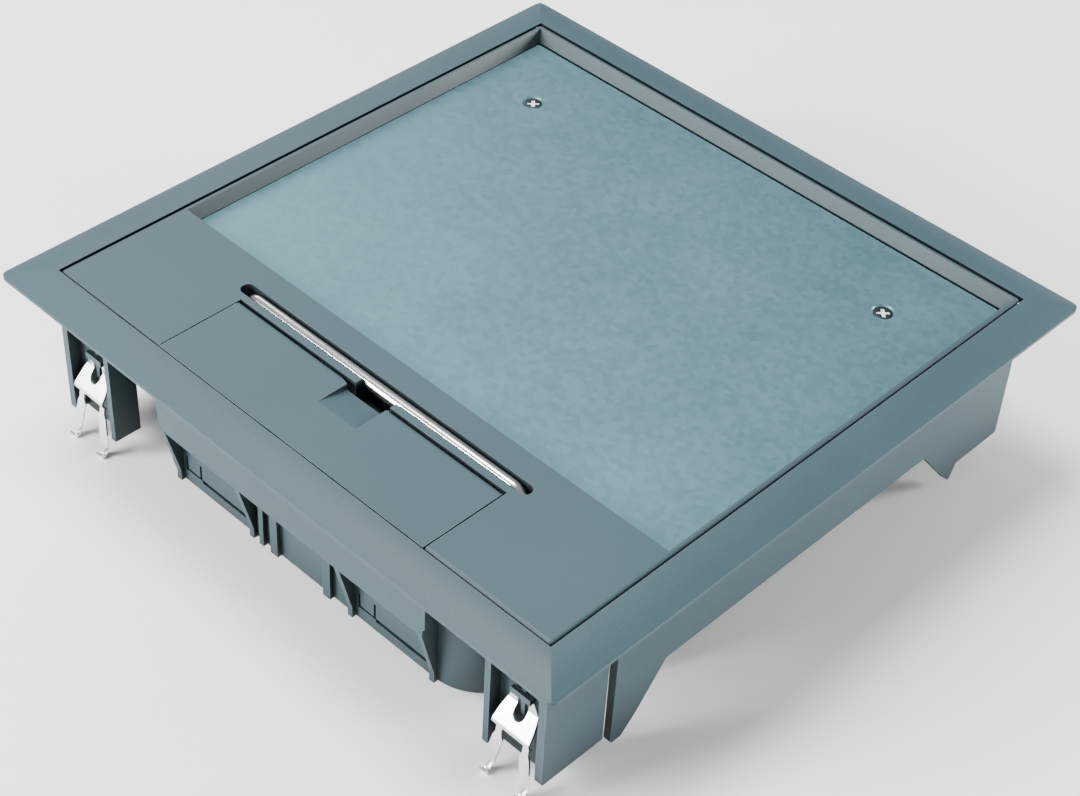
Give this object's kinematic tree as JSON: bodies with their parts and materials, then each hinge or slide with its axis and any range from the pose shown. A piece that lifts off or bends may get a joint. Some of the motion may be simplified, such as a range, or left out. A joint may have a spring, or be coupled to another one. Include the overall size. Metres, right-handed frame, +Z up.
{
  "type": "floor socket box",
  "caption": "Square floor socket box with a hinged lid, recessed steel cover plate, pull-up handle, cord outlet flap and spring clips, with outlets below the lid.",
  "frame": {"origin": "on the centre line, level with the lowest ends of the spring clips; the finished floor is at z = 0.0675 m", "axes": "+Z up, -Y the front with the cord outlet flap and handle, +Y the hinge side, X across"},
  "size_m": [0.264, 0.264, 0.0713],
  "materials": {
    "frame_plastic": "fine matt texture, iron grey",
    "cup_plastic": "satin dark grey",
    "cover_plastic": "satin grey",
    "module_plastic": "smooth white",
    "zinc_plate": "zinc plated, fine spangle",
    "screw_steel": "zinc plated",
    "spring_steel": "bright spring steel",
    "polished_steel": "polished",
    "brass": "plain",
    "seal_rubber": "matt black",
    "foam": "open cell, black"
  },
  "bodies": {
    "frame": {"blank_module": "module_plastic", "cover_screws": "screw_steel", "cup_cover_front": "cover_plastic", "cup_cover_middle": "cover_plastic", "cup_cover_rear": "cover_plastic", "data_outlet_left": "module_plastic", "data_outlet_right": "module_plastic", "device_cup_front": "cup_plastic", "device_cup_middle": "cup_plastic", "device_cup_rear": "cup_plastic", "earth_springs": "brass", "floor_frame": "frame_plastic", "frame_flange": "frame_plastic", "lid_seal": "seal_rubber", "socket_outlet_1": "module_plastic", "socket_outlet_2": "module_plastic", "socket_outlet_3": "module_plastic", "socket_outlet_4": "module_plastic", "socket_outlet_5": "module_plastic", "socket_outlet_6": "module_plastic", "spring_clip_front_left": "spring_steel", "spring_clip_front_right": "spring_steel", "spring_clip_rear_left": "spring_steel", "spring_clip_rear_right": "spring_steel"},
    "lid": {"lid_tray": "frame_plastic", "steel_plate": "zinc_plate", "plate_screws": "screw_steel", "screw_inserts": "brass", "hinge_pins": "screw_steel"},
    "handle": {"handle_bow": "polished_steel", "handle_collars": "screw_steel"},
    "flap": {"cord_flap": "frame_plastic", "flap_pins": "screw_steel", "flap_foam": "foam"}
  },
  "joints": [
    {"name": "lid_hinge", "type": "hinge", "parent": "frame", "child": "lid", "pos_m": [0, 0.1155, 0.0696], "axis": [-1, 0, 0], "range_deg": [0, 100]},
    {"name": "flap_hinge", "type": "hinge", "parent": "lid", "child": "flap", "pos_m": [0, -0.0844, 0.0693], "axis": [-1, 0, 0], "range_deg": [0, 90]},
    {"name": "handle_slide", "type": "slide", "parent": "lid", "child": "handle", "axis": [0, 0, 1], "range_m": [0, 0.02]}
  ]
}
